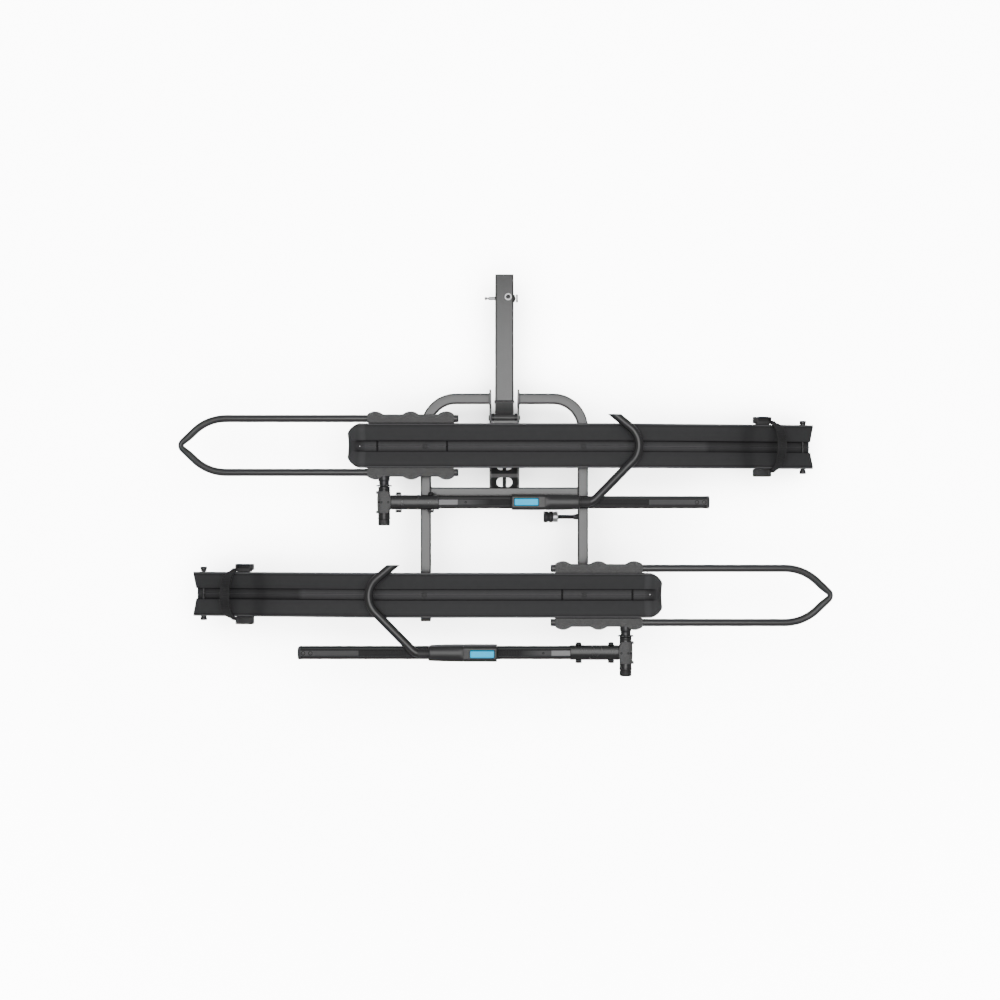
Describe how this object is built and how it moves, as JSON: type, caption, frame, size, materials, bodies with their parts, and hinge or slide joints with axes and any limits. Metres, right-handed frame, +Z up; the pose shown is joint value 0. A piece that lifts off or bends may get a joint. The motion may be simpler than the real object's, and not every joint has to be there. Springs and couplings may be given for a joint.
{
  "type": "hitch bike rack",
  "caption": "Hitch-mounted platform bicycle rack with a fold-up frame, wheel trays with hoops, swing-up ratchet arms with hooks and wheel straps.",
  "frame": {"origin": "middle of the tongue's top face, straight above the hitch bolt's axis", "axes": "+Z up when mounted and level, +Y towards the car along the tongue, +X to the right across the car"},
  "size_m": [1.7696, 1.0958, 0.2013],
  "materials": {
    "frame_steel": "satin grey",
    "bare_metal": "plated",
    "dark_steel": "satin black",
    "bolt_metal": "blackened",
    "tray_alloy": "dark anodised",
    "hoop_paint": "textured dark grey",
    "clamp_cast": "grainy grey",
    "arm_alloy": "dark anodised",
    "black_plastic": "fine grained",
    "black_rubber": "matt",
    "bright_collar": "polished",
    "blue_plastic": "light blue",
    "strip_plastic": "grey"
  },
  "bodies": {
    "tongue": {"tongue": "frame_steel", "cross_bush": "bare_metal", "bolt_boss": "frame_steel", "lock_stud": "bare_metal", "tilt_head": "dark_steel", "tilt_pin": "bolt_metal"},
    "hitch_bolt": {"hitch_bolt": "bare_metal"},
    "tilt_lever": {"tilt_lever": "dark_steel"},
    "frame": {"bracket": "frame_steel", "left_rail": "frame_steel", "right_rail": "frame_steel", "cross_tube": "frame_steel", "rail_plugs": "black_plastic", "pivot_bolt": "bolt_metal", "lock_ferrule": "bolt_metal", "lock_stem": "black_rubber", "lock_collar": "bright_collar", "inner_tray": "tray_alloy", "outer_tray": "tray_alloy", "inner_saddles": "dark_steel", "outer_risers": "dark_steel", "tray_bolts": "bolt_metal", "inner_hoop": "hoop_paint", "outer_hoop": "hoop_paint", "hoop_caps": "black_plastic", "inner_front_clamp": "clamp_cast", "inner_rear_clamp": "clamp_cast", "outer_front_clamp": "clamp_cast", "outer_rear_clamp": "clamp_cast", "clamp_bolts": "bolt_metal", "arm_spindles": "bolt_metal", "inner_strap": "black_rubber", "outer_strap": "black_rubber", "inner_ratchet": "black_plastic", "outer_ratchet": "black_plastic", "strap_anchors": "black_plastic", "cross_rods": "dark_steel"},
    "lock_knob": {"lock_knob": "black_plastic"},
    "inner_ratchet_lever": {"inner_ratchet_lever": "black_plastic"},
    "inner_arm": {"inner_hinge_sleeve": "dark_steel", "inner_arm_bracket": "clamp_cast", "inner_arm_socket": "dark_steel", "inner_arm_bar": "arm_alloy", "inner_rack_strip": "strip_plastic", "inner_arm_bolts": "bolt_metal", "inner_end_cap": "black_plastic"},
    "inner_slider": {"inner_slider": "black_plastic", "inner_hook": "black_rubber"},
    "inner_button": {"inner_button": "blue_plastic"},
    "outer_ratchet_lever": {"outer_ratchet_lever": "black_plastic"},
    "outer_arm": {"outer_hinge_sleeve": "dark_steel", "outer_arm_bracket": "clamp_cast", "outer_arm_socket": "dark_steel", "outer_arm_bar": "arm_alloy", "outer_rack_strip": "strip_plastic", "outer_arm_bolts": "bolt_metal", "outer_end_cap": "black_plastic"},
    "outer_slider": {"outer_slider": "black_plastic", "outer_hook": "black_rubber"},
    "outer_button": {"outer_button": "blue_plastic"}
  },
  "joints": [
    {"name": "hitch_bolt_slide", "type": "slide", "parent": "tongue", "child": "hitch_bolt", "axis": [1, 0, 0], "range_m": [0, 0.015]},
    {"name": "frame_tilt", "type": "hinge", "parent": "tongue", "child": "frame", "pos_m": [0, -0.3314, -0.0119], "axis": [-1, 0, 0], "range_deg": [-20, 90]},
    {"name": "tilt_lever_turn", "type": "hinge", "parent": "tongue", "child": "tilt_lever", "pos_m": [0.047, -0.37813, -0.05111], "axis": [1, 0, 0], "range_deg": [0, 60]},
    {"name": "lock_knob_turn", "type": "hinge", "parent": "frame", "child": "lock_knob", "pos_m": [0.1336, -0.6044, -0.0254], "axis": [1, 0, 0], "range_deg": [0, 90]},
    {"name": "inner_ratchet_lever_turn", "type": "hinge", "parent": "frame", "child": "inner_ratchet_lever", "pos_m": [0.7124, -0.3422, -0.01409], "axis": [0.992, 0, -0.1262], "range_deg": [0, 80]},
    {"name": "inner_arm_hinge", "type": "hinge", "parent": "frame", "child": "inner_arm", "pos_m": [-0.3265, -0.5649, 0.0376], "axis": [0, -1, 0], "range_deg": [0, 115]},
    {"name": "inner_slider_slide", "type": "slide", "parent": "inner_arm", "child": "inner_slider", "axis": [1, 0, 0], "range_m": [-0.18, 0.25]},
    {"name": "inner_button_press", "type": "slide", "parent": "inner_slider", "child": "inner_button", "axis": [0, 0, -1], "range_m": [0, 0.004], "stiffness_N_per_m": 400},
    {"name": "outer_ratchet_lever_turn", "type": "hinge", "parent": "frame", "child": "outer_ratchet_lever", "pos_m": [-0.7124, -0.7472, 0.01091], "axis": [0.992, 0, 0.1262], "range_deg": [0, 80]},
    {"name": "outer_arm_hinge", "type": "hinge", "parent": "frame", "child": "outer_arm", "pos_m": [0.3265, -0.9699, 0.0626], "axis": [0, 1, 0], "range_deg": [0, 115]},
    {"name": "outer_slider_slide", "type": "slide", "parent": "outer_arm", "child": "outer_slider", "axis": [-1, 0, 0], "range_m": [-0.18, 0.25]},
    {"name": "outer_button_press", "type": "slide", "parent": "outer_slider", "child": "outer_button", "axis": [0, 0, -1], "range_m": [0, 0.004], "stiffness_N_per_m": 400}
  ]
}
